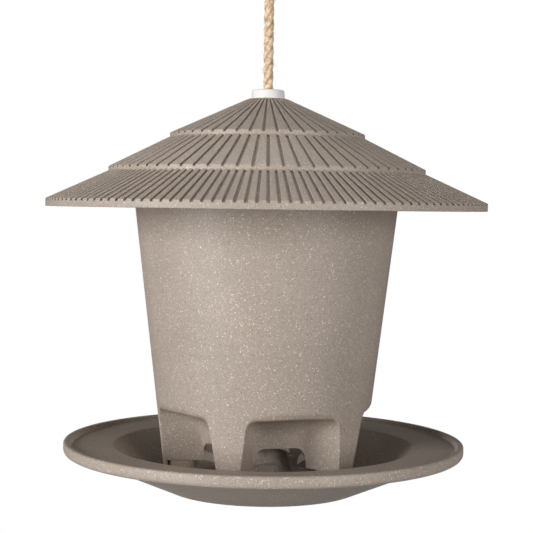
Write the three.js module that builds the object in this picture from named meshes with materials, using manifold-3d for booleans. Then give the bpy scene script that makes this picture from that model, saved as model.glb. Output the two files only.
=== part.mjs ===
// Hanging bird feeder: roof, hopper and tray threaded on one rope, with the seed in between.
// Millimetres, +Z up. The origin is where the hook bears in the eye of the hanging loop.
import * as THREE from 'three';
import { mergeVertices } from 'three/addons/utils/BufferGeometryUtils.js';
import Module from 'manifold-3d';

const wasm = await Module();
wasm.setup();

// ---- Driving dimensions ----------------------------------------------------------------
// Heights are counted from the plane that the tray's foot ring rests on.
const GAP = 0.3;                    // free play between pieces that touch

const ROPE_R = 3;                   // 6 mm rope
const ROPE_HOLE_R = 3.5;            // its holes in cap and tray

const TRAY_R = 114;                 // outside of the rolled lip
const LIP_TOP_H = 28;
const SHELF_H = 25.3;               // the wide flat shelf inside the lip
const BOWL_R = 86;                  // where the shelf drops into the bowl
const FLOOR_R = 60;
const FLOOR_H = 6;
const FOOT_R = 54;                  // foot ring on the underside
const CONE_TOP_H = 27.3;            // central cone that spreads the seed and hides the knot
const CONE_HOLLOW_H = 22.5;

const POCKETS = 5;                  // seed outlets, with a leg between each two
const POCKET_PITCH = 2 * Math.PI / POCKETS;
const FIRST_POCKET = THREE.MathUtils.degToRad(17);      // from the front, towards +X

const HOPPER_WALL = 2.5;
const HOPPER_FOOT_H = FLOOR_H + 0.5;
const HOPPER_TOP_H = 174;
const HOPPER_TAPER = 0.1185;        // radius gained per millimetre of height
const HOPPER_R_AT_100 = 67.45;

const POCKET_INNER = 29;            // distance of the outlet's inner edge from the axis
const POCKET_OUTER = 66;            // just outside the hopper's wall
const SCOOP_LOW_H = 27.7;           // inner edge of the scooped ceiling
const SCOOP_HIGH_H = 47;            // ceiling just behind the hopper's skin
const SCOOP_ROLL_DEPTH = 9;         // where the ceiling starts to roll up into the skin
const SCOOP_ROLL_SLOPE = 0.55;
const POCKET_CORNER_R = 5;
const POCKET_FOOT_H = 14;           // the two heights at which a pocket's width is given
const POCKET_HEAD_H = SCOOP_HIGH_H;
const POCKET_FOOT_HALF_WIDTH = 14.4;        // half widths at the inner edge
const POCKET_HEAD_HALF_WIDTH = 12.4;
const POCKET_FOOT_FLARE = 0.662;            // half width gained per millimetre outwards
const POCKET_HEAD_FLARE = 0.51;
const SILL_H = 16.2;                // lower edge of the pockets' side walls
const PEDESTAL_TOP_H = SILL_H - GAP;
const PEDESTAL_HALF_WIDTH = 6;
const PEDESTAL_INNER_R = 35;
const PEDESTAL_OUTER_R = 52.6;

const ROOF_RIM_H = 160;             // lower edge of the roof's rim
const ROOF_R = 125;
const ROOF_WALL = 3;
const APEX_H = ROOF_RIM_H + 62.4;
const APEX_HOLE_R = 6;
const SEAT_H = HOPPER_TOP_H + GAP;  // ring under the roof that rests on the hopper
const SKIRT_H = SEAT_H - 7;         // and the lip that keeps the roof centred on it

const CAP_R = 9.6;
const CAP_HEIGHT = 5;

const KNOT_LOW_H = 5.5;             // stopper knot in the tray's cone
const LOOP_KNOT_LOW_H = 325;        // knot of the hanging loop
const LOOP_KNOT_TOP_H = 346;
const LOOP_TOP_H = 400;             // centre line of the rope at the top of the eye
const LOOP_HALF_WIDTH = 13;
const HOOK_H = LOOP_TOP_H - ROPE_R; // the hook bears on the inside of the eye

const AROUND = 60;                  // facets round the turned shells

// ---- Materials -------------------------------------------------------------------------
const composite = new THREE.MeshStandardMaterial({ color: 0xa3968a, roughness: 0.72, metalness: 0 });
const shadedComposite = new THREE.MeshStandardMaterial({ color: 0x94897e, roughness: 0.72, metalness: 0 });
const whiteRubber = new THREE.MeshStandardMaterial({ color: 0xece6e3, roughness: 0.5, metalness: 0 });
const sisal = new THREE.MeshStandardMaterial({ color: 0xd9bc90, roughness: 0.9, metalness: 0 });

// ---- Shape helpers ---------------------------------------------------------------------
// A turned shape from [radius, height] points that run up the outside and back down the inside.
function turned(points, segments = AROUND) {
  const profile = points.map(([r, h]) => new THREE.Vector2(r, h));
  const closed = points[0][0] > 0;
  if (closed) profile.push(profile[0].clone());
  return new THREE.LatheGeometry(profile, segments).rotateX(Math.PI / 2);
}

function toSolid(geometry) {
  const bare = geometry.clone();
  bare.deleteAttribute('normal');
  bare.deleteAttribute('uv');
  const merged = mergeVertices(bare, 1e-4);
  const index = Array.from(merged.index.array);
  const kept = [];
  for (let i = 0; i < index.length; i += 3) {
    const [a, b, c] = index.slice(i, i + 3);
    if (a !== b && b !== c && c !== a) kept.push(a, b, c);
  }
  return new wasm.Manifold(new wasm.Mesh({
    numProp: 3,
    vertProperties: new Float32Array(merged.attributes.position.array),
    triVerts: new Uint32Array(kept),
  }));
}

function toGeometry(solid) {
  const mesh = solid.getMesh();
  const geometry = new THREE.BufferGeometry();
  geometry.setAttribute('position', new THREE.BufferAttribute(new Float32Array(mesh.vertProperties), 3));
  geometry.setIndex(new THREE.BufferAttribute(new Uint32Array(mesh.triVerts), 1));
  geometry.computeVertexNormals();
  return geometry;
}

// A closed skin through rings of equal point count, each ring seen counter-clockwise from the end.
function lofted(rings) {
  const n = rings[0].length;
  const positions = rings.flat(2);
  const index = [];
  for (let k = 0; k < rings.length - 1; k += 1) {
    for (let i = 0; i < n; i += 1) {
      const a = k * n + i;
      const b = k * n + (i + 1) % n;
      index.push(a, b, b + n, a, b + n, a + n);
    }
  }
  const last = (rings.length - 1) * n;
  for (let i = 1; i < n - 1; i += 1) {
    index.push(0, i + 1, i);
    index.push(last, last + i, last + i + 1);
  }
  const geometry = new THREE.BufferGeometry();
  geometry.setAttribute('position', new THREE.Float32BufferAttribute(positions, 3));
  geometry.setIndex(index);
  return geometry;
}

// Copies of a solid, turned about the rope to each of the given angles from the front.
function aroundRope(solid, angles) {
  const copies = angles.map((angle) => solid.rotate([0, 0, THREE.MathUtils.radToDeg(angle)]));
  return copies.reduce((all, copy) => all.add(copy));
}

function named(name, geometry, material) {
  const mesh = new THREE.Mesh(geometry, material);
  mesh.name = name;
  return mesh;
}

const pocketAngles = Array.from({ length: POCKETS }, (_, i) => FIRST_POCKET + i * POCKET_PITCH);
const legAngles = pocketAngles.map((angle) => angle + POCKET_PITCH / 2);

// ---- Rope with its knots and its loop --------------------------------------------------
function ropeTube(points, steps) {
  const section = new THREE.Shape();
  section.absarc(0, 0, ROPE_R, 0, 2 * Math.PI, false);
  const path = new THREE.CatmullRomCurve3(points.map(([x, y, h]) => new THREE.Vector3(x, y, h)));
  return new THREE.ExtrudeGeometry(section, {
    steps, curveSegments: 5, bevelEnabled: false, extrudePath: path,
  });
}

function knot(low, high, radius) {
  const points = [[0, low]];
  const middle = (low + high) / 2;
  const rings = 8;
  for (let i = 0; i <= rings; i += 1) {
    const t = -0.42 * Math.PI + 0.84 * Math.PI * i / rings;
    points.push([radius * Math.cos(t), middle + (high - low) / 2 * Math.sin(t) / Math.sin(0.42 * Math.PI)]);
  }
  points.push([0, high]);
  return turned(points, 20);
}

const stopperKnot = named('stopper_knot', knot(KNOT_LOW_H, CONE_HOLLOW_H - GAP, 8.2), sisal);
const rope = named('rope', ropeTube([
  [0, 0, CONE_HOLLOW_H],
  [0, 0, 100],
  [0, 0, 200],
  [0, 0, LOOP_KNOT_LOW_H - GAP],
], 16), sisal);
const loopKnot = named('loop_knot', knot(LOOP_KNOT_LOW_H, LOOP_KNOT_TOP_H, 9.5), sisal);
const loopSide = [
  [3.6, 0, LOOP_KNOT_TOP_H + GAP],
  [4.6, 0, LOOP_KNOT_TOP_H + 6],
  [9, 0, LOOP_KNOT_TOP_H + 18],
  [LOOP_HALF_WIDTH, 0, LOOP_TOP_H - 17],
  [10.5, 0, LOOP_TOP_H - 6],
];
const hangingLoop = named('hanging_loop', ropeTube([
  ...loopSide,
  [0, 0, LOOP_TOP_H],
  ...loopSide.toReversed().map(([x, y, h]) => [-x, y, h]),
], 30), sisal);

// ---- Tray ------------------------------------------------------------------------------
const trayShell = turned([
  [ROPE_HOLE_R, CONE_HOLLOW_H],
  [8, CONE_HOLLOW_H],
  [9.6, CONE_HOLLOW_H - 2],
  [14.5, FLOOR_H - 3.4],
  [FOOT_R - 10, FLOOR_H - 3.4],
  [FOOT_R - 8, 0],
  [FOOT_R, 0],
  [FOOT_R + 2, 1.3],
  [98, 19],
  [105, 20.5],
  [110, 20.8],
  [112.8, 22],
  [TRAY_R, 24.6],
  [TRAY_R - 0.6, 26.7],
  [TRAY_R - 2, LIP_TOP_H - 0.2],
  [TRAY_R - 4, LIP_TOP_H],
  [TRAY_R - 5.6, LIP_TOP_H - 1],
  [TRAY_R - 6.6, SHELF_H + 0.2],
  [BOWL_R, SHELF_H],
  [BOWL_R - 1.6, SHELF_H - 0.8],
  [FLOOR_R, FLOOR_H + 0.8],
  [FLOOR_R - 1.5, FLOOR_H],
  [17.9, FLOOR_H],
  [16.5, 10],
  [12.1, 23],
  [8.2, 26],
  [6.5, CONE_TOP_H],
  [ROPE_HOLE_R, CONE_TOP_H],
]);

// Pedestal on which one leg stands: a bar along the radius with a round inner end.
function pedestal() {
  const outline = new THREE.Shape();
  outline.moveTo(-PEDESTAL_HALF_WIDTH, -PEDESTAL_OUTER_R);
  outline.lineTo(PEDESTAL_HALF_WIDTH, -PEDESTAL_OUTER_R);
  outline.lineTo(PEDESTAL_HALF_WIDTH, -PEDESTAL_INNER_R - PEDESTAL_HALF_WIDTH);
  outline.absarc(0, -PEDESTAL_INNER_R - PEDESTAL_HALF_WIDTH, PEDESTAL_HALF_WIDTH, 0, Math.PI, false);
  const bar = new THREE.ExtrudeGeometry(outline, {
    depth: PEDESTAL_TOP_H - FLOOR_H + 1, bevelEnabled: false, curveSegments: 6,
  });
  return toSolid(bar.translate(0, 0, FLOOR_H - 1));
}

const traySolid = toSolid(trayShell).add(aroundRope(pedestal(), legAngles));
const tray = named('tray', toGeometry(traySolid), composite);

// ---- Hopper ----------------------------------------------------------------------------
const hopperRadius = (h) => HOPPER_R_AT_100 + (h - 100) * HOPPER_TAPER;

function taperedPlug(low, high, inset) {
  return toSolid(turned([
    [0, low],
    [hopperRadius(low) - inset, low],
    [hopperRadius(high) - inset, high],
    [0, high],
  ]));
}

// Half width of a pocket, at a distance from the axis and a height.
function pocketHalfWidth(distance, h) {
  const atFoot = POCKET_FOOT_HALF_WIDTH + (distance - POCKET_INNER) * POCKET_FOOT_FLARE;
  const atHead = POCKET_HEAD_HALF_WIDTH + (distance - POCKET_INNER) * POCKET_HEAD_FLARE;
  return THREE.MathUtils.lerp(atFoot, atHead, (h - POCKET_FOOT_H) / (POCKET_HEAD_H - POCKET_FOOT_H));
}

// Height of the scooped ceiling: a quarter ellipse that ends upright at the inner edge.
function scoopHeight(distance) {
  const rollStart = POCKET_OUTER - SCOOP_ROLL_DEPTH;
  const u = Math.min(1, (distance - POCKET_INNER) / (rollStart - POCKET_INNER));
  const rise = SCOOP_HIGH_H - SCOOP_LOW_H;
  const rollOver = Math.max(0, distance - rollStart) * SCOOP_ROLL_SLOPE;
  return SCOOP_LOW_H + rise * Math.sqrt(1 - (1 - u) ** 2) + rollOver;
}

// The space of one pocket, grown by a margin at its sides and ceiling, open at both ends.
function pocketSpace(margin, low) {
  const stations = 10;
  const arcs = 4;
  const corner = POCKET_CORNER_R;
  const rings = [];
  for (let k = 0; k <= stations; k += 1) {
    const t = k / stations;
    const distance = POCKET_INNER + (POCKET_OUTER - POCKET_INNER) * t * (0.4 + 0.6 * t);
    const top = scoopHeight(distance) + margin;
    const lowWidth = pocketHalfWidth(distance, low) + margin;
    const ring = [[-lowWidth, -distance, low], [lowWidth, -distance, low]];
    for (let i = 0; i <= arcs; i += 1) {
      const a = Math.PI / 2 * i / arcs;
      const h = top - corner + corner * Math.sin(a);
      const w = pocketHalfWidth(distance, top - corner) + margin - corner + corner * Math.cos(a);
      ring.push([w, -distance, h]);
    }
    for (let i = arcs; i >= 0; i -= 1) {
      const [w, y, h] = ring[2 + i];
      ring.push([-w, y, h]);
    }
    rings.push(ring);
  }
  return toSolid(lofted(rings));
}

const skin = taperedPlug(HOPPER_FOOT_H, HOPPER_TOP_H, 0);
const hollow = taperedPlug(HOPPER_FOOT_H - 1, HOPPER_TOP_H + 1, HOPPER_WALL);
const pockets = aroundRope(pocketSpace(0, HOPPER_FOOT_H - 3), pocketAngles);
const pocketWalls = aroundRope(pocketSpace(HOPPER_WALL, SILL_H), pocketAngles);
const cutHopper = skin.subtract(pockets).subtract(hollow.subtract(pocketWalls));
const hopperSolid = cutHopper.decompose().reduce((a, b) => (a.volume() > b.volume() ? a : b));
const hopper = named('hopper', toGeometry(hopperSolid), composite);

// ---- Roof ------------------------------------------------------------------------------
const roofShell = turned([
  [APEX_HOLE_R, APEX_H - ROOF_WALL],
  [12, APEX_H - ROOF_WALL - 0.6],
  [54, APEX_H - 23.5],
  [70, SEAT_H + 12],
  [70, SEAT_H],
  [hopperRadius(HOPPER_TOP_H) + 0.8, SEAT_H],
  [hopperRadius(HOPPER_TOP_H) + 0.8, SKIRT_H],
  [79.6, SKIRT_H],
  [80.2, SEAT_H + 9],
  [88, ROOF_RIM_H + 19],
  [119, ROOF_RIM_H + 4.2],
  [120.8, ROOF_RIM_H + 1.2],
  [122.2, ROOF_RIM_H],
  [123.6, ROOF_RIM_H + 0.2],
  [ROOF_R, ROOF_RIM_H + 2],
  [ROOF_R - 0.4, ROOF_RIM_H + 3.8],
  [ROOF_R - 1.6, ROOF_RIM_H + 4.9],
  [90.2, ROOF_RIM_H + 20.2],
  [90, ROOF_RIM_H + 22],
  [88.6, ROOF_RIM_H + 23.4],
  [55.8, ROOF_RIM_H + 40],
  [55.5, ROOF_RIM_H + 41.6],
  [54, ROOF_RIM_H + 42.9],
  [12, APEX_H],
  [APEX_HOLE_R, APEX_H],
]);
const roof = named('roof', roofShell, shadedComposite);

// ---- Rope cap --------------------------------------------------------------------------
// A soft grommet: a button on top of the roof, and a neck with a barb through the apex hole.
const capLow = APEX_H + GAP;
const ropeCap = named('rope_cap', turned([
  [ROPE_R + GAP, APEX_H - 7],
  [APEX_HOLE_R - 1, APEX_H - 7],
  [APEX_HOLE_R + 1.2, APEX_H - ROOF_WALL - 1.6],
  [APEX_HOLE_R + 1.2, APEX_H - ROOF_WALL - 0.9],
  [APEX_HOLE_R - GAP, APEX_H - ROOF_WALL - 0.6],
  [APEX_HOLE_R - GAP, capLow],
  [CAP_R, capLow],
  [CAP_R - 0.3, capLow + CAP_HEIGHT - 0.9],
  [CAP_R - 1.1, capLow + CAP_HEIGHT - 0.1],
  [CAP_R - 2, capLow + CAP_HEIGHT],
  [ROPE_R + 1.1, capLow + CAP_HEIGHT],
  [ROPE_R + GAP, capLow + CAP_HEIGHT - 0.6],
], 24), whiteRubber);

// ---- Assembly --------------------------------------------------------------------------
const feeder = new THREE.Group();
feeder.position.z = -HOOK_H;
feeder.add(rope, hangingLoop, loopKnot, stopperKnot, ropeCap, roof, hopper, tray);

const object = new THREE.Group();
object.add(feeder);

export default object;
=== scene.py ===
import bmesh
import bpy
import math
import random
from mathutils import Matrix, Vector


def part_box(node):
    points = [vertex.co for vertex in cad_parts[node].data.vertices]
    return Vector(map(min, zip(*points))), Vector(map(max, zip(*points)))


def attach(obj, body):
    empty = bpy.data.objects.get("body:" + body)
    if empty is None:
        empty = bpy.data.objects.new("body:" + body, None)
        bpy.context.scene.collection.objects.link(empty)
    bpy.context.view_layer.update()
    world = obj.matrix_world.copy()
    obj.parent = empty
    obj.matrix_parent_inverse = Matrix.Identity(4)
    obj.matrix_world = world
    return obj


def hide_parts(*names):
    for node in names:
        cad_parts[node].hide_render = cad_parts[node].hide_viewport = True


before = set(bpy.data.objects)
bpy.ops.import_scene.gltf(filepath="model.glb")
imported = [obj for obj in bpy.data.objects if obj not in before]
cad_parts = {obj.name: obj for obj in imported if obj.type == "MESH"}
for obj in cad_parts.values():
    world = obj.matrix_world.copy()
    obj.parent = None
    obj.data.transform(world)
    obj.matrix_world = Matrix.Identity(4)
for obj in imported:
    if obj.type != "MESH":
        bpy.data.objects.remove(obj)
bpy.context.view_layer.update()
bpy.ops.object.select_all(action="DESELECT")

# ---- Camera ----------------------------------------------------------------------------
# A short telephoto stands a little over three feeder widths in front of the rope, level
# with the roof's rim, and looks slightly down, so that planks and tray both show.
MM = 0.001
CAMERA_PLACE = (0.99 * MM, -820.11 * MM, -233.345 * MM)
CAMERA_PITCH = 0.0443
CAMERA_YAW = 0.0007
CAMERA_ROLL = 0.0137
camera_data = bpy.data.cameras.new("camera")
camera_data.sensor_width = 36
camera_data.lens = 96.96
camera = bpy.data.objects.new("camera", camera_data)
bpy.context.scene.collection.objects.link(camera)
camera.rotation_mode = "XYZ"
aim = (
    Matrix.Rotation(CAMERA_YAW, 4, "Z")
    @ Matrix.Rotation(math.pi / 2 - CAMERA_PITCH, 4, "X")
    @ Matrix.Rotation(CAMERA_ROLL, 4, "Z")
)
camera.matrix_world = Matrix.Translation(CAMERA_PLACE) @ aim
bpy.context.scene.camera = camera

# ---- Rope ------------------------------------------------------------------------------
# Three-strand sisal rope, 6 mm thick, laid right-handed. It runs from its stopper knot in
# the tray's cone up through tray, hopper, roof and cap to the knot of its hanging loop.
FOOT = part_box("tray")[0].z
ROPE_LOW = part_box("rope")[0].z
ROPE_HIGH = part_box("rope")[1].z
ROPE_D = 6 * MM
STRANDS = 3
STRAND_LINES = 15
STRAND_R = 2.1 * MM
STRAND_OFFSET = 0.9 * MM
ROPE_PITCH = 22 * MM
STRAND_PITCH = 13 * MM
ROPE_RING = 0.9 * MM


def above_foot(height):
    """Z of a height in millimetres above the plane of the tray's foot ring."""
    return FOOT + height * MM


def active(piece):
    bpy.ops.object.select_all(action="DESELECT")
    piece.select_set(True)
    bpy.context.view_layer.objects.active = piece
    return piece


def pick(kind, test):
    """In edit mode, selects the vertices, edges or faces that pass a test, and no others."""
    bpy.ops.mesh.select_mode(type=kind)
    bpy.ops.mesh.select_all(action="DESELECT")
    shape = bmesh.from_edit_mesh(bpy.context.object.data)
    parts = {"VERT": shape.verts, "EDGE": shape.edges, "FACE": shape.faces}[kind]
    for part in [p for p in parts if test(p)]:
        part.select_set(True)
    bmesh.update_edit_mesh(bpy.context.object.data)


def apply_all(piece):
    active(piece)
    for modifier in list(piece.modifiers):
        bpy.ops.object.modifier_apply(modifier=modifier.name)


def join(pieces, name):
    active(pieces[0])
    for piece in pieces:
        piece.select_set(True)
    bpy.ops.object.join()
    pieces[0].name = name
    return pieces[0]


def laid_rope(name, length):
    """A straight length of rope that stands up from the origin: three twisted strands."""
    bpy.ops.object.select_all(action="DESELECT")
    bpy.ops.mesh.primitive_cylinder_add(
        vertices=STRAND_LINES, radius=STRAND_R, depth=length, location=(0, 0, length / 2)
    )
    strand = bpy.context.object
    bpy.ops.object.transform_apply(location=True)
    bpy.ops.object.mode_set(mode="EDIT")
    pick("EDGE", lambda e: abs(e.verts[0].co.z - e.verts[1].co.z) > length / 2)
    bpy.ops.mesh.subdivide(number_cuts=round(length / ROPE_RING) - 1)
    bpy.ops.object.mode_set(mode="OBJECT")
    # Each strand is round, and is twisted the other way from the lay of the three.
    twist = strand.modifiers.new("twist", "SIMPLE_DEFORM")
    twist.deform_method = "TWIST"
    twist.deform_axis = "Z"
    twist.angle = -2 * math.pi * length / STRAND_PITCH
    apply_all(strand)
    strand.data.transform(Matrix.Translation((STRAND_OFFSET, 0, 0)))
    strands = [strand]
    for turn in range(1, STRANDS):
        copy = strand.copy()
        copy.data = strand.data.copy()
        copy.data.transform(Matrix.Rotation(turn * 2 * math.pi / STRANDS, 4, "Z"))
        bpy.context.scene.collection.objects.link(copy)
        strands.append(copy)
    rope = join(strands, name)
    # How far each point lies out from the rope's middle; the sisal material paints shade between the
    # strands from it.
    depth = rope.data.attributes.new("depth", "FLOAT", "POINT")
    for vertex, value in zip(rope.data.vertices, depth.data):
        value.value = math.hypot(vertex.co.x, vertex.co.y) / (STRAND_R + STRAND_OFFSET)
    lay = rope.modifiers.new("lay", "SIMPLE_DEFORM")
    lay.deform_method = "TWIST"
    lay.deform_axis = "Z"
    lay.angle = 2 * math.pi * length / ROPE_PITCH
    apply_all(rope)
    bpy.ops.object.shade_smooth_by_angle(angle=math.radians(50))
    return rope


rope = laid_rope("rope_strands", ROPE_HIGH - ROPE_LOW)
rope.data.transform(Matrix.Translation((0, 0, ROPE_LOW)))
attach(rope, "rope")
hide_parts("rope")

# ---- Rope's loop and knots -------------------------------------------------------------
# The rope's upper end is bent into an eye for the hook and tied off in a thick overhand
# knot. The lower end is knotted too, and that knot carries the tray from inside its cone.
KNOT_POINTS = 16
KNOT_DEPTH = 0.75
TREFOIL_SPAN = 2.9
LOOP_HALF_WIDTH = 13 * MM


def rope_along(name, points):
    """Rope laid along a smooth line through points, in metres."""
    line_data = bpy.data.curves.new(name + "_line", "CURVE")
    line_data.dimensions = "3D"
    line_data.resolution_u = 16
    line_data.twist_mode = "MINIMUM"
    spline = line_data.splines.new("BEZIER")
    spline.bezier_points.add(len(points) - 1)
    for knot_point, place in zip(spline.bezier_points, points):
        knot_point.co = place
        knot_point.handle_left_type = "AUTO"
        knot_point.handle_right_type = "AUTO"
    line = bpy.data.objects.new(name + "_line", line_data)
    bpy.context.scene.collection.objects.link(line)
    length = sum(s.calc_length() for s in line_data.splines)
    piece = laid_rope(name, length)
    piece.data.transform(Matrix.Rotation(math.pi / 2, 4, "Y"))
    bend = piece.modifiers.new("bend", "CURVE")
    bend.object = line
    bend.deform_axis = "POS_X"
    apply_all(piece)
    bpy.data.objects.remove(line)
    return piece


def overhand_knot(name, low, high, width):
    """The tied knot: rope that winds about the standing part in a trefoil."""
    middle = (low + high) / 2
    reach = (high - low) / 2 - ROPE_D / 2
    across = width / 2 - ROPE_D / 2
    points = []
    for step in range(KNOT_POINTS):
        turn = 2 * math.pi * step / KNOT_POINTS
        points.append((
            across * (math.sin(turn) + 2 * math.sin(2 * turn)) / TREFOIL_SPAN,
            across * math.sin(3 * turn) * KNOT_DEPTH,
            middle + reach * (math.cos(turn) - 2 * math.cos(2 * turn)) / TREFOIL_SPAN,
        ))
    points.append(points[0])
    return rope_along(name, points)


low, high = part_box("loop_knot")
loop_knot = overhand_knot("loop_knot_tied", low.z, high.z, high.x - low.x)
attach(loop_knot, "rope")
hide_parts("loop_knot")
low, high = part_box("stopper_knot")
stopper_knot = overhand_knot("stopper_knot_tied", low.z, high.z, high.x - low.x)
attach(stopper_knot, "rope")
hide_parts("stopper_knot")

loop_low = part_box("hanging_loop")[0].z
loop_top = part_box("hanging_loop")[1].z - ROPE_D / 2
loop_half = [
    (2.2 * MM, 0, loop_low - 5 * MM),
    (3.4 * MM, 0, loop_low),
    (4.6 * MM, 0, loop_low + 5.7 * MM),
    (9 * MM, 0, loop_low + 17.7 * MM),
    (LOOP_HALF_WIDTH, 0, loop_top - 17 * MM),
    (10.5 * MM, 0, loop_top - 6 * MM),
]
hanging_loop = rope_along(
    "hanging_loop_eye",
    loop_half + [(0, 0, loop_top)] + [(-x, y, z) for x, y, z in reversed(loop_half)],
)
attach(hanging_loop, "rope")
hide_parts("hanging_loop")

# ---- Rope's stray fibres ---------------------------------------------------------------
# Sisal is hairy: short stiff ends of fibre stand out from between the strands.
FIBRE_COUNT = 150
FIBRE_REACH = (1.8, 4.8)
FIBRE_CURL = (-0.25, 0.35)
FIBRE_LEAN = (0.55, 1.1)
FIBRE_ROOT = 2.2 * MM
fibre_random = random.Random(11)
fibres = []
bpy.ops.object.select_all(action="DESELECT")
bpy.ops.mesh.primitive_cone_add(vertices=4, radius1=0.1 * MM, radius2=0.03 * MM, depth=1)
fibre_pattern = bpy.context.object
bpy.ops.object.mode_set(mode="EDIT")
pick("EDGE", lambda e: abs(e.verts[0].co.z - e.verts[1].co.z) > 0.5)
bpy.ops.mesh.subdivide(number_cuts=4)
bpy.ops.object.mode_set(mode="OBJECT")
for number in range(FIBRE_COUNT):
    fibre = fibre_pattern.copy()
    fibre.data = fibre_pattern.data.copy()
    reach = fibre_random.uniform(*FIBRE_REACH) * MM
    curl = fibre_random.uniform(*FIBRE_CURL)
    for vertex in fibre.data.vertices:
        along = vertex.co.z + 0.5
        vertex.co.z = along * reach
        vertex.co.x += curl * reach * along * along
    lean = Matrix.Rotation(fibre_random.uniform(*FIBRE_LEAN), 4, "Y")
    around = Matrix.Rotation(fibre_random.uniform(0, 2 * math.pi), 4, "Z")
    flip = Matrix.Rotation(fibre_random.choice((0, math.pi)), 4, "X")
    height = fibre_random.uniform(ROPE_LOW + 8 * MM, ROPE_HIGH - 2 * MM)
    root = Matrix.Translation((FIBRE_ROOT, 0, 0))
    fibre.data.transform(Matrix.Translation((0, 0, height)) @ around @ root @ flip @ lean)
    fibre.data.update()
    bpy.context.scene.collection.objects.link(fibre)
    fibres.append(fibre)
bpy.data.objects.remove(fibre_pattern)
rope_fibres = join(fibres, "rope_fibres")
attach(rope_fibres, "rope")


def new_material(name):
    """A material, its node tree and its Principled BSDF."""
    material = bpy.data.materials.new(name)
    material.use_nodes = True
    tree = material.node_tree
    return material, tree, tree.nodes["Principled BSDF"]


def add_node(tree, kind, **settings):
    node = tree.nodes.new(kind)
    for key, value in settings.items():
        setattr(node, key, value)
    return node


sisal, tree, shader = new_material("sisal")
shader.inputs["Roughness"].default_value = 0.85
shader.inputs["Specular IOR Level"].default_value = 0.25
shader.inputs["Sheen Weight"].default_value = 0.25
shader.inputs["Sheen Roughness"].default_value = 0.5
place = add_node(tree, "ShaderNodeTexCoord")
stretch = add_node(tree, "ShaderNodeMapping")
stretch.inputs["Scale"].default_value = (1, 1, 0.16)
hairs = add_node(tree, "ShaderNodeTexNoise")
hairs.inputs["Scale"].default_value = 2600
hairs.inputs["Detail"].default_value = 3
tones = add_node(tree, "ShaderNodeTexNoise")
tones.inputs["Scale"].default_value = 420
tone_ramp = add_node(tree, "ShaderNodeValToRGB")
tone_ramp.color_ramp.elements[0].position = 0.34
tone_ramp.color_ramp.elements[0].color = (0.57, 0.40, 0.24, 1)
tone_ramp.color_ramp.elements[1].position = 0.62
tone_ramp.color_ramp.elements[1].color = (0.90, 0.74, 0.53, 1)
mix = add_node(tree, "ShaderNodeMix", data_type="RGBA", blend_type="OVERLAY")
mix.inputs["Factor"].default_value = 0.35
# Painted shade: between the strands, where shade falls, the rope is painted darker and redder.
depth = add_node(tree, "ShaderNodeAttribute", attribute_name="depth")
valley_shade = add_node(tree, "ShaderNodeMapRange")
valley_shade.inputs["From Min"].default_value = 0.78
valley_shade.inputs["From Max"].default_value = 0.90
valley_shade.inputs["To Min"].default_value = 1
valley_shade.inputs["To Max"].default_value = 0
darker = add_node(tree, "ShaderNodeMix", data_type="RGBA", blend_type="MULTIPLY")
darker.inputs["B"].default_value = (0.72, 0.55, 0.42, 1)
bump = add_node(tree, "ShaderNodeBump")
bump.inputs["Strength"].default_value = 0.5
bump.inputs["Distance"].default_value = 0.15 * MM
tree.links.new(place.outputs["Object"], stretch.inputs["Vector"])
tree.links.new(stretch.outputs["Vector"], hairs.inputs["Vector"])
tree.links.new(place.outputs["Object"], tones.inputs["Vector"])
tree.links.new(tones.outputs["Fac"], tone_ramp.inputs["Fac"])
tree.links.new(tone_ramp.outputs["Color"], mix.inputs["A"])
tree.links.new(hairs.outputs["Fac"], mix.inputs["B"])
tree.links.new(depth.outputs["Fac"], valley_shade.inputs["Value"])
tree.links.new(valley_shade.outputs["Result"], darker.inputs["Factor"])
tree.links.new(mix.outputs["Result"], darker.inputs["A"])
tree.links.new(darker.outputs["Result"], shader.inputs["Base Color"])
tree.links.new(hairs.outputs["Fac"], bump.inputs["Height"])
tree.links.new(bump.outputs["Normal"], shader.inputs["Normal"])
for piece in (rope, loop_knot, stopper_knot, hanging_loop, rope_fibres):
    piece.data.materials.clear()
    piece.data.materials.append(sisal)

# ---- Tray ------------------------------------------------------------------------------
# One moulded dish: a rolled lip, a wide flat shelf, a bowl, and in its middle a hollow
# cone that spreads the seed. Five pedestals on the floor carry the hopper's legs.
TRAY_STEPS = 240
TRAY_R = 114
LIP_TOP = 28
SHELF_R = 109.6
SHELF = 25.3
BOWL_R = 86
BOWL_FLOOR_R = 60
BOWL_FLOOR = 6
CONE_TOP = 27.3
CONE_CEILING = 22.5
CONE_HOLE_R = 3.5
PEDESTAL_R = 45.2
PEDESTAL_WIDE = 12
PEDESTAL_DEEP = 14.8
PEDESTAL_TALL = 11
PEDESTAL_TOP = 15.9
SAME_PLACE = 1e-6
LEGS = 5
POCKET_PITCH = 2 * math.pi / LEGS
FIRST_POCKET = math.radians(17)
pocket_angles = [FIRST_POCKET + number * POCKET_PITCH for number in range(LEGS)]
leg_angles = [angle + POCKET_PITCH / 2 for angle in pocket_angles]


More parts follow.
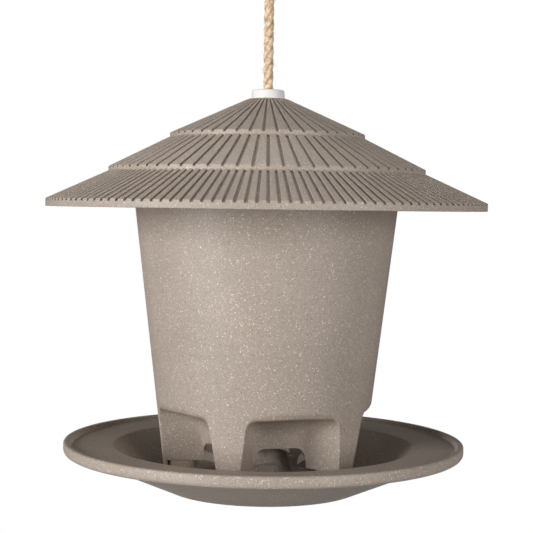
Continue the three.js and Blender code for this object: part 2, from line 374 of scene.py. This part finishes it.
def turned(name, outline, steps):
    """A shell turned about the rope from a closed outline of (radius, height, rounding)."""
    bpy.ops.object.select_all(action="DESELECT")
    bpy.ops.mesh.primitive_circle_add(vertices=len(outline), radius=1)
    piece = bpy.context.object
    piece.name = name
    corners = [Vector((r * MM, 0, above_foot(h))) for r, h, _ in outline]
    for vertex, corner in zip(piece.data.vertices, corners):
        vertex.co = corner
    bpy.ops.object.mode_set(mode="EDIT")
    for rounding in sorted({size for _, _, size in outline if size}):
        sharp = [c for c, (_, _, size) in zip(corners, outline) if size == rounding]
        pick("VERT", lambda v: any((v.co - corner).length < SAME_PLACE for corner in sharp))
        bpy.ops.mesh.bevel(offset=rounding * MM, segments=5, affect="VERTICES")
    bpy.ops.mesh.select_all(action="SELECT")
    bpy.ops.mesh.spin(steps=steps, angle=2 * math.pi, center=(0, 0, 0), axis=(0, 0, 1))
    bpy.ops.mesh.select_all(action="SELECT")
    bpy.ops.mesh.remove_doubles(threshold=SAME_PLACE)
    bpy.ops.mesh.normals_make_consistent(inside=False)
    bpy.ops.object.mode_set(mode="OBJECT")
    return piece


def combine(piece, other, operation):
    """Joins another solid to a piece or cuts it away, and uses the other solid up."""
    boolean = piece.modifiers.new("combine", "BOOLEAN")
    boolean.operation = operation
    boolean.solver = "MANIFOLD"
    boolean.object = other
    apply_all(piece)
    bpy.data.objects.remove(other)


def copies_around(pattern, angles):
    """Copies of a piece at angles about the rope, from the front towards the right."""
    copies = []
    for angle in angles:
        copy = pattern.copy()
        copy.data = pattern.data.copy()
        copy.data.transform(Matrix.Rotation(angle, 4, "Z"))
        bpy.context.scene.collection.objects.link(copy)
        copies.append(copy)
    bpy.data.objects.remove(pattern)
    return copies


tray = turned("tray_dish", [
    (CONE_HOLE_R, CONE_CEILING, 0.5), (9.0, CONE_CEILING, 1.5), (14.5, 2.6, 1.2), (45.0, 2.6, 0.8),
    (46.0, 0.0, 0.5), (54.0, 0.0, 1.2), (98.5, 19.3, 4.0), (106.0, 20.6, 2.5),
    (TRAY_R, 21.4, 2.4), (TRAY_R, LIP_TOP, 1.3), (110.5, LIP_TOP, 0.8), (SHELF_R, SHELF, 0.6),
    (BOWL_R, SHELF, 0.6), (BOWL_FLOOR_R, BOWL_FLOOR, 3.0), (17.9, BOWL_FLOOR, 1.4),
    (12.3, 23.0, 2.0), (7.6, CONE_TOP, 1.4), (CONE_HOLE_R, CONE_TOP, 0.6),
], TRAY_STEPS)

bpy.ops.object.select_all(action="DESELECT")
bpy.ops.mesh.primitive_cube_add(
    size=1, location=(0, -PEDESTAL_R * MM, above_foot(PEDESTAL_TOP - PEDESTAL_TALL / 2))
)
pedestal = bpy.context.object
bpy.ops.transform.resize(value=(PEDESTAL_WIDE * MM, PEDESTAL_DEEP * MM, PEDESTAL_TALL * MM))
bpy.ops.object.transform_apply(location=True, rotation=False, scale=True)
bpy.ops.object.mode_set(mode="EDIT")
# The end towards the rope is round, and all of the top has a soft edge.
pick("EDGE", lambda e: all(v.co.y > -PEDESTAL_R * MM for v in e.verts)
     and abs(e.verts[0].co.z - e.verts[1].co.z) > PEDESTAL_TALL / 2 * MM)
bpy.ops.mesh.bevel(offset=5.9 * MM, segments=10, affect="EDGES")
pick("EDGE", lambda e: all(abs(v.co.z - above_foot(PEDESTAL_TOP)) < SAME_PLACE for v in e.verts))
bpy.ops.mesh.bevel(offset=0.6 * MM, segments=3, affect="EDGES")
bpy.ops.object.mode_set(mode="OBJECT")
for copy in copies_around(pedestal, leg_angles):
    combine(tray, copy, "UNION")
active(tray)
bpy.ops.object.shade_smooth_by_angle(angle=math.radians(35))
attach(tray, "tray")
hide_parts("tray")


def composite_group():
    """Greige resin filled with wood meal and pale flakes: colour, roughness and relief."""
    group = bpy.data.node_groups.new("filled_composite", "ShaderNodeTree")
    face = group.interface
    for name, kind, value in (
        ("Vector", "NodeSocketVector", None),
        ("Resin", "NodeSocketColor", (0.36, 0.30, 0.25, 1)),
        ("Flakes", "NodeSocketColor", (0.85, 0.78, 0.66, 1)),
        ("Flake Amount", "NodeSocketFloat", 1.0),
        ("Grain Size", "NodeSocketFloat", 1.0),
    ):
        socket = face.new_socket(name=name, in_out="INPUT", socket_type=kind)
        if value is not None:
            socket.default_value = value
    face.new_socket(name="Color", in_out="OUTPUT", socket_type="NodeSocketColor")
    face.new_socket(name="Roughness", in_out="OUTPUT", socket_type="NodeSocketFloat")
    face.new_socket(name="Height", in_out="OUTPUT", socket_type="NodeSocketFloat")
    start = group.nodes.new("NodeGroupInput")
    end = group.nodes.new("NodeGroupOutput")
    links = group.links

    def math_node(operation, a, b, clamp=False):
        node = add_node(group, "ShaderNodeMath", operation=operation, use_clamp=clamp)
        for socket, value in zip(node.inputs, (a, b)):
            if isinstance(value, (int, float)):
                socket.default_value = value
            else:
                links.new(value, socket)
        return node.outputs[0]

    def flake_layer(cells, reach, share):
        """A mask of round flakes, one in each of a share of the cells of a cell pattern."""
        scale = math_node("DIVIDE", cells, start.outputs["Grain Size"])
        voronoi = add_node(group, "ShaderNodeTexVoronoi")
        links.new(start.outputs["Vector"], voronoi.inputs["Vector"])
        links.new(scale, voronoi.inputs["Scale"])
        split = add_node(group, "ShaderNodeSeparateColor")
        links.new(voronoi.outputs["Color"], split.inputs["Color"])
        size = math_node("MULTIPLY", split.outputs["Green"], reach)
        near = math_node("SUBTRACT", size, voronoi.outputs["Distance"])
        inside = math_node("MULTIPLY", near, 9.0, clamp=True)
        chosen = math_node("LESS_THAN", split.outputs["Red"], share)
        return math_node("MULTIPLY", inside, chosen), split.outputs["Blue"]

    fine, fine_tint = flake_layer(cells=1150, reach=0.52, share=0.75)
    coarse, coarse_tint = flake_layer(cells=560, reach=0.40, share=0.22)
    dark, _ = flake_layer(cells=860, reach=0.50, share=0.45)
    cloud = add_node(group, "ShaderNodeTexNoise")
    cloud.inputs["Scale"].default_value = 30
    cloud.inputs["Detail"].default_value = 4
    links.new(start.outputs["Vector"], cloud.inputs["Vector"])
    grain = add_node(group, "ShaderNodeTexNoise")
    grain.inputs["Scale"].default_value = 2300
    grain.inputs["Detail"].default_value = 2
    links.new(start.outputs["Vector"], grain.inputs["Vector"])

    tone = add_node(group, "ShaderNodeMix", data_type="RGBA", blend_type="MULTIPLY")
    tone.inputs["Factor"].default_value = 1.0
    shade = add_node(group, "ShaderNodeMapRange")
    shade.inputs["From Min"].default_value = 0.3
    shade.inputs["From Max"].default_value = 0.7
    shade.inputs["To Min"].default_value = 0.94
    shade.inputs["To Max"].default_value = 1.04
    links.new(cloud.outputs["Fac"], shade.inputs["Value"])
    speck = add_node(group, "ShaderNodeMapRange")
    speck.inputs["From Min"].default_value = 0.35
    speck.inputs["From Max"].default_value = 0.65
    speck.inputs["To Min"].default_value = 0.80
    speck.inputs["To Max"].default_value = 1.20
    links.new(grain.outputs["Fac"], speck.inputs["Value"])
    both = math_node("MULTIPLY", shade.outputs["Result"], speck.outputs["Result"])
    links.new(start.outputs["Resin"], tone.inputs["A"])
    links.new(both, tone.inputs["B"])
    darker = add_node(group, "ShaderNodeMix", data_type="RGBA", blend_type="MULTIPLY")
    darker.inputs["B"].default_value = (0.62, 0.58, 0.55, 1)
    dark_amount = math_node("MULTIPLY", dark, 0.5)
    links.new(dark_amount, darker.inputs["Factor"])
    links.new(tone.outputs["Result"], darker.inputs["A"])
    with_fine = add_node(group, "ShaderNodeMix", data_type="RGBA")
    fine_amount = math_node("MULTIPLY", fine, math_node("MULTIPLY", fine_tint, 0.75))
    fine_total = math_node("MULTIPLY", fine_amount, start.outputs["Flake Amount"], clamp=True)
    links.new(fine_total, with_fine.inputs["Factor"])
    links.new(darker.outputs["Result"], with_fine.inputs["A"])
    links.new(start.outputs["Flakes"], with_fine.inputs["B"])
    with_coarse = add_node(group, "ShaderNodeMix", data_type="RGBA")
    coarse_strength = math_node("ADD", math_node("MULTIPLY", coarse_tint, 0.4), 0.15)
    coarse_amount = math_node("MULTIPLY", coarse, coarse_strength)
    coarse_total = math_node("MULTIPLY", coarse_amount, start.outputs["Flake Amount"], clamp=True)
    links.new(coarse_total, with_coarse.inputs["Factor"])
    links.new(with_fine.outputs["Result"], with_coarse.inputs["A"])
    links.new(start.outputs["Flakes"], with_coarse.inputs["B"])
    links.new(with_coarse.outputs["Result"], end.inputs["Color"])
    rough = math_node("SUBTRACT", 0.47, math_node("MULTIPLY", coarse_total, 0.22))
    rough_grain = math_node("MULTIPLY", grain.outputs["Fac"], 0.10)
    links.new(math_node("ADD", rough, rough_grain), end.inputs["Roughness"])
    links.new(grain.outputs["Fac"], end.inputs["Height"])
    return group


filled_composite = composite_group()


def composite_material(name, resin, flake_amount):
    """The filled composite as a material, with its own resin colour and share of flakes."""
    material, tree, shader = new_material(name)
    shader.inputs["Specular IOR Level"].default_value = 0.5
    place = add_node(tree, "ShaderNodeTexCoord")
    filled = add_node(tree, "ShaderNodeGroup", node_tree=filled_composite)
    filled.inputs["Resin"].default_value = resin
    filled.inputs["Flakes"].default_value = (0.86, 0.78, 0.65, 1)
    filled.inputs["Flake Amount"].default_value = flake_amount
    filled.inputs["Grain Size"].default_value = 1.0
    bump = add_node(tree, "ShaderNodeBump")
    bump.inputs["Strength"].default_value = 0.35
    bump.inputs["Distance"].default_value = 0.05 * MM
    tree.links.new(place.outputs["Object"], filled.inputs["Vector"])
    tree.links.new(filled.outputs["Color"], shader.inputs["Base Color"])
    tree.links.new(filled.outputs["Roughness"], shader.inputs["Roughness"])
    tree.links.new(filled.outputs["Height"], bump.inputs["Height"])
    tree.links.new(bump.outputs["Normal"], shader.inputs["Normal"])
    return material


BODY_RESIN = (0.400, 0.333, 0.280, 1)
tray.data.materials.clear()
tray.data.materials.append(composite_material("tray_composite", BODY_RESIN, 1.0))

# ---- Hopper ----------------------------------------------------------------------------
# The seed store: a tapered moulded tube on five legs. Between the legs five scooped
# pockets are let into its wall, and seed runs out under their ceilings into the tray.
HOPPER_STEPS = 240
HOPPER_TOP = 174
HOPPER_FOOT = 6.5
HOPPER_WALL = 2.5
MIDDLE_HEIGHT = 100
MIDDLE_R = 67.45
TAPER = 0.1185
SILL = 16.2


def hopper_radius(height):
    """Radius of the outer wall, which widens evenly from the foot to the top."""
    return MIDDLE_R + (height - MIDDLE_HEIGHT) * TAPER


POCKET_ROOT = 29
POCKET_FOOT = 14
POCKET_HEAD = 47
FOOT_HALF_WIDTH = 14.4
FOOT_FLARE = 0.662
HEAD_HALF_WIDTH = 12.4
HEAD_FLARE = 0.51


def pocket_half_width(distance, height):
    """Half the width of a pocket, which flares outwards and narrows towards its head."""
    at_foot = FOOT_HALF_WIDTH + (distance - POCKET_ROOT) * FOOT_FLARE
    at_head = HEAD_HALF_WIDTH + (distance - POCKET_ROOT) * HEAD_FLARE
    return at_foot + (at_head - at_foot) * (height - POCKET_FOOT) / (POCKET_HEAD - POCKET_FOOT)


POCKET_INNER = 31
POCKET_OUTER = 80
CEILING_LOW = 27.7
CEILING_RISE = 19.3
CEILING_RUN = 28
SLOPE_START = 57
SLOPE = 0.3


def scoop_height(distance):
    """The pocket's ceiling: a quarter ellipse, upright at its inner edge, then a slope."""
    along = min(1, (distance - POCKET_INNER) / CEILING_RUN)
    beyond = max(0, distance - SLOPE_START)
    return CEILING_LOW + CEILING_RISE * math.sqrt(1 - (1 - along) ** 2) + beyond * SLOPE


SKIN_NEAR = 50
SKIN_FAR = 64
INNER_SHARE = 0.25
OUTER_SHARE = 0.15


def station_distance(along):
    """Distance from the rope of a station, with most of the stations near the outer skin."""
    skin_end = 1 - OUTER_SHARE
    if along < INNER_SHARE:
        return POCKET_INNER + (SKIN_NEAR - POCKET_INNER) * along / INNER_SHARE
    if along < skin_end:
        return SKIN_NEAR + (SKIN_FAR - SKIN_NEAR) * (along - INNER_SHARE) / (skin_end - INNER_SHARE)
    return SKIN_FAR + (POCKET_OUTER - SKIN_FAR) * (along - skin_end) / OUTER_SHARE


POCKET_CORNER = 6.5
WALL_SHARE = 0.45
CORNER_END = 0.8
WALL_ROLL = 0.8
CEILING_ROLL = 2.2


def arch_place(rise, distance, low, margin):
    """Half width, height and edge rounding of a pocket's arch, from foot (0) to crown (1)."""
    top = scoop_height(distance) + margin
    spring = top - POCKET_CORNER
    if rise <= WALL_SHARE:
        height = low + (spring - low) * rise / WALL_SHARE
        return pocket_half_width(distance, height) + margin, height, WALL_ROLL
    inside = pocket_half_width(distance, spring) + margin - POCKET_CORNER
    if rise <= CORNER_END:
        share = (rise - WALL_SHARE) / (CORNER_END - WALL_SHARE)
        turn = share * math.pi / 2
        width = inside + POCKET_CORNER * math.cos(turn)
        height = spring + POCKET_CORNER * math.sin(turn)
        return width, height, WALL_ROLL + (CEILING_ROLL - WALL_ROLL) * share
    return inside * (1 - rise) / (1 - CORNER_END), top, CEILING_ROLL


def fill_loop(test):
    """In edit mode, closes the loop of open edges that pass a test with one face."""
    pick("EDGE", lambda e: (e.is_boundary or e.is_wire) and test(e))
    bpy.ops.mesh.edge_face_add()


def at_inner_end(vertex):
    return vertex.co.y > -(POCKET_INNER + 0.01) * MM


def at_outer_end(vertex):
    return math.hypot(vertex.co.x, vertex.co.y) > (POCKET_OUTER - 1) * MM


ARCH_POINTS = 40
POCKET_STATIONS = 60
SETTLE_STEPS = 12
FLAT_UNTIL = 41.3
BEND_RUN = 16.4
NEAREST = 10
ROLL_TURN = 1.6


def pocket_space(name, margin, low):
    """The space of one pocket at the front, grown by a margin, with rolled outer edges.

    A station is flat near the rope and bends round it further out, as the skin does.
    """
    bpy.ops.object.select_all(action="DESELECT")
    bpy.ops.mesh.primitive_grid_add(x_subdivisions=ARCH_POINTS, y_subdivisions=POCKET_STATIONS)
    space = bpy.context.object
    space.name = name
    for vertex in space.data.vertices:
        around = (vertex.co.x + 1) / 2
        along = (vertex.co.y + 1) / 2
        wanted = station_distance(along)
        distance = wanted
        side = -1 if around < 0.5 else 1
        rise = 1 - abs(2 * around - 1)
        bent = min(1, max(0, (wanted - FLAT_UNTIL) / BEND_RUN))
        for _ in range(SETTLE_STEPS):
            width, height, roll = arch_place(rise, distance, low, margin)
            round_distance = math.sqrt(max(wanted * wanted - width * width, NEAREST * NEAREST))
            distance = wanted + (round_distance - wanted) * bent
        rolled = 0
        skin = hopper_radius(height) - math.hypot(distance, width)
        if margin == 0 and skin < roll:
            rolled = roll - math.sqrt(roll * roll - min(roll, roll - skin) ** 2)
        up = max(0, (rise - WALL_SHARE) / (1 - WALL_SHARE))
        out = math.cos(min(1, up * ROLL_TURN) * math.pi / 2)
        vertex.co = (
            side * (width + rolled * out) * MM,
            -distance * MM,
            above_foot(height + rolled * math.sqrt(1 - out * out)),
        )
    bpy.ops.object.mode_set(mode="EDIT")
    bpy.ops.mesh.select_all(action="SELECT")
    bpy.ops.mesh.remove_doubles(threshold=SAME_PLACE)
    # An edge across the foot of either end makes three loops: inner end, outer end and foot.
    for at_end in (at_inner_end, at_outer_end):
        pick("VERT", lambda v: at_end(v) and abs(v.co.z - above_foot(low)) < SAME_PLACE)
        bpy.ops.mesh.edge_face_add()
        fill_loop(lambda e: all(at_end(v) for v in e.verts))
    fill_loop(lambda e: True)
    bpy.ops.mesh.select_all(action="SELECT")
    bpy.ops.mesh.normals_make_consistent(inside=False)
    bpy.ops.object.mode_set(mode="OBJECT")
    return space


def hopper_plug(name, low, high, inset):
    """A solid tapered plug of the hopper's shape, in rows fine enough to cut pockets into."""
    rows = [low] + [4 * step for step in range(3, 16)] + [100, 137] + [high]
    side = [(hopper_radius(h) - inset, h, 0) for h in rows]
    return turned(name, [(0, low, 0)] + side + [(0, high, 0)], HOPPER_STEPS)


hopper = hopper_plug("hopper_shell", HOPPER_FOOT, HOPPER_TOP, 0)
hollow = hopper_plug("hollow", HOPPER_FOOT - 1, HOPPER_TOP + 1, HOPPER_WALL)
for wall in copies_around(pocket_space("wall", HOPPER_WALL, SILL), pocket_angles):
    combine(hollow, wall, "DIFFERENCE")
combine(hopper, hollow, "DIFFERENCE")
for pocket in copies_around(pocket_space("pocket", 0, HOPPER_FOOT - 3), pocket_angles):
    combine(hopper, pocket, "DIFFERENCE")
active(hopper)
bpy.ops.object.mode_set(mode="EDIT")
pick("EDGE", lambda e: all(v.co.z > above_foot(HOPPER_TOP) - SAME_PLACE for v in e.verts))
bpy.ops.mesh.bevel(offset=0.7 * MM, segments=3, affect="EDGES")
bpy.ops.object.mode_set(mode="OBJECT")
bpy.ops.object.shade_smooth_by_angle(angle=math.radians(40))
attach(hopper, "hopper")
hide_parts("hopper")
hopper.data.materials.clear()
hopper.data.materials.append(composite_material("hopper_composite", BODY_RESIN, 1.0))

# ---- Roof ------------------------------------------------------------------------------
# One moulded cone in three tiers. Each tier is a ring of flat radial planks with narrow
# grooves between them, and ends in a low upright edge where the grooves run out.
RIM = 160
APEX = RIM + 62.4
ROOF_STEPS = 144
PLANK_EDGE = 0.32
TIER_EDGE = 0.8
ALIGNED = 1e-4


def plank_tier(name, planks, first_groove, outer, inner, groove, depth, thick):
    """A closed ring of planks.

    outer and inner are (radius, height) of the plank's top, and groove is the groove's
    width at those two ends.
    """
    half = math.pi / planks
    bpy.ops.object.select_all(action="DESELECT")
    bpy.ops.mesh.primitive_cube_add(size=1)
    plank = bpy.context.object
    plank.name = name
    for vertex in plank.data.vertices:
        radius, height = outer if vertex.co.y < 0 else inner
        height = height - depth if vertex.co.z > 0 else height - thick
        side = half if vertex.co.x > 0 else -half
        vertex.co = (
            radius * math.sin(side) * MM,
            -radius * math.cos(side) * MM,
            above_foot(height),
        )
    low_end = Vector((0, -outer[0] * math.cos(half) * MM, above_foot(outer[1] - depth)))
    high_end = Vector((0, -inner[0] * math.cos(half) * MM, above_foot(inner[1] - depth)))
    bpy.ops.object.mode_set(mode="EDIT")
    for side in (-1, 1):
        at_low = low_end + Vector((side * (outer[0] * math.sin(half) - groove[0] / 2) * MM, 0, 0))
        at_high = high_end + Vector((side * (inner[0] * math.sin(half) - groove[1] / 2) * MM, 0, 0))
        across = (at_high - at_low).cross(Vector((0, 0, 1))).normalized()
        bpy.ops.mesh.select_all(action="SELECT")
        bpy.ops.mesh.bisect(plane_co=at_low, plane_no=across)
    pick("FACE", lambda f: f.normal.z > 0.5 and abs(f.calc_center_median().x) < SAME_PLACE)
    bpy.ops.mesh.extrude_region_move(TRANSFORM_OT_translate={"value": (0, 0, depth * MM)})
    tops = [above_foot(outer[1]), above_foot(inner[1])]
    pick("EDGE", lambda e: all(
        any(abs(v.co.z - top) < SAME_PLACE for top in tops) for v in e.verts
    ) and not all(v.co.y > high_end.y - SAME_PLACE for v in e.verts))
    bpy.ops.mesh.bevel(offset=PLANK_EDGE * MM, segments=3, affect="EDGES")

    def on_joint(face):
        """Whether a face lies in the plane where a plank meets its neighbour."""
        middle = face.calc_center_median()
        angle = abs(math.atan2(middle.x, -middle.y))
        return abs(abs(face.normal.x) - math.cos(half)) < ALIGNED and abs(angle - half) < ALIGNED

    pick("FACE", on_joint)
    bpy.ops.mesh.delete(type="FACE")
    bpy.ops.object.mode_set(mode="OBJECT")
    plank.data.transform(Matrix.Rotation(first_groove + half, 4, "Z"))
    ring = copies_around(plank, [2 * math.pi * number / planks for number in range(planks)])
    tier = join(ring, name)
    bpy.ops.object.mode_set(mode="EDIT")
    bpy.ops.mesh.select_all(action="SELECT")
    bpy.ops.mesh.remove_doubles(threshold=2e-6)
    bpy.ops.mesh.normals_make_consistent(inside=False)
    lowest = above_foot(outer[1] - thick)
    pick("EDGE", lambda e: all(
        abs(v.co.z - lowest) < SAME_PLACE and math.hypot(v.co.x, v.co.y) > (outer[0] - 0.5) * MM
        for v in e.verts))
    bpy.ops.mesh.bevel(offset=TIER_EDGE * MM, segments=4, affect="EDGES")
    bpy.ops.object.mode_set(mode="OBJECT")
    return tier


roof = plank_tier(
    "roof_shell", planks=144, first_groove=math.radians(0.44),
    outer=(124.9, RIM + 4.8), inner=(88.6, RIM + 21.4), groove=(1.8, 1.55), depth=1.35, thick=4.7,
)
middle_tier = plank_tier(
    "middle", planks=72, first_groove=math.radians(0.46),
    outer=(90.0, RIM + 23.2), inner=(54.0, RIM + 41.2), groove=(1.75, 1.45), depth=1.3, thick=5.0,
)
top_tier = plank_tier(
    "top", planks=48, first_groove=math.radians(-2.06),
    outer=(55.5, RIM + 42.7), inner=(11.5, APEX + 0.1), groove=(1.75, 0.6), depth=1.2, thick=5.0,
)
core = turned("core", [
    (0, RIM + 10, 0), (100, RIM + 10, 0), (86, RIM + 20, 0), (52, RIM + 39, 0),
    (13, APEX - 3.2, 0), (11.5, APEX - 1.6, 0), (11.5, APEX + 0.2, 0.4), (0, APEX + 0.2, 0),
], ROOF_STEPS)
for part in (middle_tier, top_tier, core):
    combine(roof, part, "UNION")
SEAT = HOPPER_TOP + 0.3
RING_LOW = SEAT - 7
RING_R = hopper_radius(HOPPER_TOP) + 0.8
underside = turned("underside", [
    (0, RIM - 5, 0), (122.0, RIM - 5, 0), (121.4, RIM + 1.0, 0.8), (119.2, RIM + 3.6, 1.5),
    (88.0, RIM + 18.2, 1.0), (80.4, RIM + 22.0, 0.8), (79.6, RING_LOW, 0.5),
    (RING_R, RING_LOW, 0.6), (RING_R, SEAT, 0.4), (70.0, SEAT, 0.6), (70.0, SEAT + 12, 1.0),
    (54.0, APEX - 23.5, 2.0), (12.0, APEX - 3.6, 1.0),
    (0, APEX - 3.6, 0),
], ROOF_STEPS)
combine(roof, underside, "DIFFERENCE")
HOLE_R = 6
rope_hole = turned("rope_hole", [
    (0, APEX - 9, 0), (HOLE_R, APEX - 9, 0), (HOLE_R, APEX + 6, 0), (0, APEX + 6, 0),
], 48)
combine(roof, rope_hole, "DIFFERENCE")
active(roof)
bpy.ops.object.shade_smooth_by_angle(angle=math.radians(14))
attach(roof, "roof")
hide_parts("roof")
roof.data.materials.clear()
roof.data.materials.append(composite_material("roof_composite", BODY_RESIN, 0.8))

# ---- Rope cap --------------------------------------------------------------------------
# A soft white grommet pressed into the roof's apex. It closes the hole and lets the rope
# slide through it.
CAP_HOLE_R = 3.3
NECK_R = 5.7
BARB_R = 7.2
FLANGE_LOW = APEX + 0.3
FLANGE_TOP = APEX + 5.3
cap = turned("rope_cap_grommet", [
    (CAP_HOLE_R, APEX - 7.0, 0.3), (5.0, APEX - 7.0, 0.3), (BARB_R, APEX - 4.6, 0.4),
    (BARB_R, APEX - 3.9, 0.2), (NECK_R, APEX - 3.6, 0.2), (NECK_R, FLANGE_LOW, 0),
    (9.6, FLANGE_LOW, 0.2), (9.2, FLANGE_TOP, 1.0), (4.4, FLANGE_TOP, 0.5),
    (CAP_HOLE_R, APEX + 4.4, 0.4),
], 96)
bpy.ops.object.shade_smooth_by_angle(angle=math.radians(35))
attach(cap, "cap")
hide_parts("rope_cap")
soft_white, tree, shader = new_material("soft_white")
shader.inputs["Subsurface Weight"].default_value = 0.1
shader.inputs["Subsurface Radius"].default_value = (1.0 * MM, 0.7 * MM, 0.6 * MM)
place = add_node(tree, "ShaderNodeTexCoord")
mottle = add_node(tree, "ShaderNodeTexNoise")
mottle.inputs["Scale"].default_value = 240
mottle.inputs["Detail"].default_value = 3
tint = add_node(tree, "ShaderNodeValToRGB")
tint.color_ramp.elements[0].position = 0.3
tint.color_ramp.elements[0].color = (0.82, 0.775, 0.755, 1)
tint.color_ramp.elements[1].position = 0.7
tint.color_ramp.elements[1].color = (0.89, 0.85, 0.83, 1)
gloss = add_node(tree, "ShaderNodeMapRange")
gloss.inputs["To Min"].default_value = 0.42
gloss.inputs["To Max"].default_value = 0.6
orange_peel = add_node(tree, "ShaderNodeBump")
orange_peel.inputs["Strength"].default_value = 0.2
orange_peel.inputs["Distance"].default_value = 0.05 * MM
tree.links.new(place.outputs["Object"], mottle.inputs["Vector"])
tree.links.new(mottle.outputs["Fac"], tint.inputs["Fac"])
tree.links.new(mottle.outputs["Fac"], gloss.inputs["Value"])
tree.links.new(mottle.outputs["Fac"], orange_peel.inputs["Height"])
tree.links.new(tint.outputs["Color"], shader.inputs["Base Color"])
tree.links.new(gloss.outputs["Result"], shader.inputs["Roughness"])
tree.links.new(orange_peel.outputs["Normal"], shader.inputs["Normal"])
cap.data.materials.clear()
cap.data.materials.append(soft_white)

# ---- Floor and light -------------------------------------------------------------------
# The feeder hangs clear of a plain floor in a dim room, and both look pure white. A large
# softbox lights it from the left and a weaker one from the right, and a little more light
# comes from overhead and from low behind.
FLOOR_SIZE = 14
FLOOR_DROP = 0.75
bpy.ops.object.select_all(action="DESELECT")
bpy.ops.mesh.primitive_plane_add(size=FLOOR_SIZE, location=(0, 0, FOOT - FLOOR_DROP))
floor = bpy.context.object
floor.name = "floor"


def white_for_the_eye(tree, lit, target):
    """Shows pure white where the camera looks straight at it, and stays dim as a light."""
    seen = add_node(tree, "ShaderNodeLightPath")
    choice = add_node(tree, "ShaderNodeMixShader")
    paper = add_node(tree, "ShaderNodeEmission")
    paper.inputs["Color"].default_value = (1, 1, 1, 1)
    tree.links.new(seen.outputs["Is Camera Ray"], choice.inputs["Fac"])
    tree.links.new(lit, choice.inputs[1])
    tree.links.new(paper.outputs["Emission"], choice.inputs[2])
    tree.links.new(choice.outputs["Shader"], target)


floor_white, tree, shader = new_material("floor_white")
shader.inputs["Base Color"].default_value = (0.42, 0.42, 0.42, 1)
shader.inputs["Roughness"].default_value = 0.9
white_for_the_eye(tree, shader.outputs["BSDF"], tree.nodes["Material Output"].inputs["Surface"])
floor.data.materials.append(floor_white)

world = bpy.data.worlds.new("studio")
bpy.context.scene.world = world
world.use_nodes = True
tree = world.node_tree
room = tree.nodes["Background"]
direction = add_node(tree, "ShaderNodeTexCoord")
split = add_node(tree, "ShaderNodeSeparateXYZ")
room_ramp = add_node(tree, "ShaderNodeValToRGB")
room_ramp.color_ramp.elements[0].position = 0.0
room_ramp.color_ramp.elements[0].color = (0.0, 0.0, 0.0, 1)
room_ramp.color_ramp.elements[1].position = 1.0
room_ramp.color_ramp.elements[1].color = (0.04, 0.04, 0.04, 1)
horizon = room_ramp.color_ramp.elements.new(0.5)
horizon.color = (0.19, 0.19, 0.19, 1)
rise = add_node(tree, "ShaderNodeMapRange")
rise.inputs["From Min"].default_value = -1
tree.links.new(direction.outputs["Generated"], split.inputs["Vector"])
tree.links.new(split.outputs["Z"], rise.inputs["Value"])
tree.links.new(rise.outputs["Result"], room_ramp.inputs["Fac"])
tree.links.new(room_ramp.outputs["Color"], room.inputs["Color"])
white_for_the_eye(tree, room.outputs["Background"], tree.nodes["World Output"].inputs["Surface"])


LIT_HEIGHT = 110


def softbox(name, azimuth, elevation, distance, side, power):
    """A square area light that faces the hopper, at angles in degrees from the front."""
    light_data = bpy.data.lights.new(name, "AREA")
    light_data.shape = "RECTANGLE"
    light_data.size = side
    light_data.size_y = side
    light_data.energy = power
    light = bpy.data.objects.new(name, light_data)
    target = Vector((0, 0, above_foot(LIT_HEIGHT)))
    turn = math.radians(azimuth)
    lift = math.radians(elevation)
    away = Vector((math.sin(turn) * math.cos(lift), -math.cos(turn) * math.cos(lift), math.sin(lift)))
    light.location = target + away * distance
    light.rotation_mode = "QUATERNION"
    light.rotation_quaternion = away.to_track_quat("Z", "Y")
    bpy.context.scene.collection.objects.link(light)


softbox("key", azimuth=-50, elevation=7, distance=1.7, side=0.9, power=29)
softbox("fill", azimuth=44, elevation=6, distance=1.7, side=0.8, power=14)
softbox("overhead", azimuth=180, elevation=80, distance=2.0, side=0.4, power=8)
softbox("low_back", azimuth=180, elevation=-12, distance=2.0, side=0.8, power=3)
bpy.context.scene.view_settings.view_transform = "Standard"
